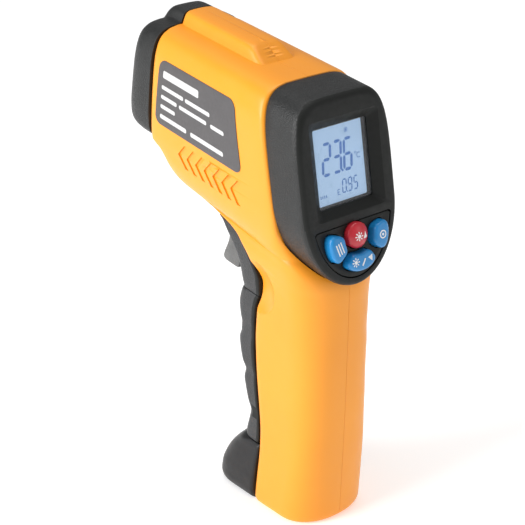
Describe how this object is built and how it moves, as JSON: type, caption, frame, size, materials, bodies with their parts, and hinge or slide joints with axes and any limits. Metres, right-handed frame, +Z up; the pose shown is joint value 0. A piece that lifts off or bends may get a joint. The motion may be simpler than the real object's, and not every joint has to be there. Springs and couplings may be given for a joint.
{
  "type": "infrared thermometer",
  "caption": "Pistol-shaped non-contact infrared thermometer with a display hood, four face buttons, a trigger and a hinged battery door in its handle.",
  "frame": {"origin": "centre of the object's box on the surface it stands on", "axes": "+Z up from the base of the handle, +Y towards the measured target, +X to the object's right-hand side"},
  "size_m": [0.0408, 0.099, 0.1605],
  "materials": {
    "orange_shell": "satin moulded ABS, orange",
    "dark_shell": "fine-grained moulded ABS, near black",
    "black_inner": "matt black moulding",
    "ir_lens": "polished infrared lens, milky",
    "lens_ring": "matt black ring",
    "sensor_metal": "nickel-plated can",
    "pcb_green": "solder mask, green",
    "brass": "turned brass",
    "laser_window": "red-tinted clear plastic",
    "bezel_black": "smooth satin black",
    "lcd_window": "clear acrylic",
    "lcd_glass": "backlit pale blue liquid crystal",
    "backlight_white": "opal light guide",
    "zebra_pink": "elastomer connector",
    "button_red": "satin red button",
    "button_blue": "satin blue button",
    "contact_rubber": "silicone contact sheet",
    "trigger_grey": "fine-grained moulded trigger",
    "steel": "plated steel",
    "grip_dark": "fine-grained moulding with finger grooves",
    "foot_dark": "satin dark moulding",
    "cell_jacket": "plain printed jacket",
    "steel_dark": "blackened steel",
    "label_grey": "printed film, dark grey"
  },
  "bodies": {
    "housing": {"left_housing": "orange_shell", "right_housing": "orange_shell", "nose_cap": "dark_shell", "lens_tube": "black_inner", "ir_lens": "ir_lens", "lens_ring": "lens_ring", "thermopile": "sensor_metal", "sensor_board": "pcb_green", "sensor_holder": "black_inner", "laser_module": "brass", "laser_window": "laser_window", "laser_clamp": "black_inner", "display_bezel": "bezel_black", "lcd_window": "lcd_window", "lcd_panel": "lcd_glass", "backlight": "backlight_white", "zebra_strip": "zebra_pink", "keypad_panel": "bezel_black", "contact_sheet": "contact_rubber", "main_pcb": "pcb_green", "buzzer": "black_inner", "trigger_pin": "steel", "trigger_spring": "steel", "trigger_switch": "black_inner", "trigger_surround": "grip_dark", "door_pin": "steel", "foot": "foot_dark", "battery_tray": "black_inner", "cell_left": "cell_jacket", "cell_right": "cell_jacket", "battery_contacts": "steel", "housing_screws": "steel_dark", "left_label": "label_grey", "right_label": "label_grey"},
    "trigger": {"trigger": "trigger_grey"},
    "battery_door": {"battery_door": "grip_dark", "door_latch": "black_inner"},
    "button_laser": {"button_laser": "button_red"},
    "button_unit": {"button_unit": "button_blue"},
    "button_select": {"button_select": "button_blue"},
    "button_emit": {"button_emit": "button_blue"}
  },
  "joints": [
    {"name": "trigger_pull", "type": "hinge", "parent": "housing", "child": "trigger", "pos_m": [0, -0.00086, 0.10677], "axis": [-1, 0, 0], "range_deg": [0, 8], "stiffness_Nm_per_rad": 0.15, "springref_deg": -5.73, "deforming": ["trigger_spring"]},
    {"name": "battery_door_hinge", "type": "hinge", "parent": "housing", "child": "battery_door", "pos_m": [0, -0.00981, 0.02457], "axis": [-1, 0, 0], "range_deg": [0, 75]},
    {"name": "button_laser_press", "type": "slide", "parent": "housing", "child": "button_laser", "axis": [0, 0.9845, -0.1754], "range_m": [0, 0.0008], "stiffness_N_per_m": 1200, "springref_m": -0.0004},
    {"name": "button_unit_press", "type": "slide", "parent": "housing", "child": "button_unit", "axis": [0, 0.9845, -0.1754], "range_m": [0, 0.0008], "stiffness_N_per_m": 1200, "springref_m": -0.0004},
    {"name": "button_select_press", "type": "slide", "parent": "housing", "child": "button_select", "axis": [0, 0.9845, -0.1754], "range_m": [0, 0.0008], "stiffness_N_per_m": 1200, "springref_m": -0.0004},
    {"name": "button_emit_press", "type": "slide", "parent": "housing", "child": "button_emit", "axis": [0, 0.9845, -0.1754], "range_m": [0, 0.0008], "stiffness_N_per_m": 1200, "springref_m": -0.0004}
  ]
}
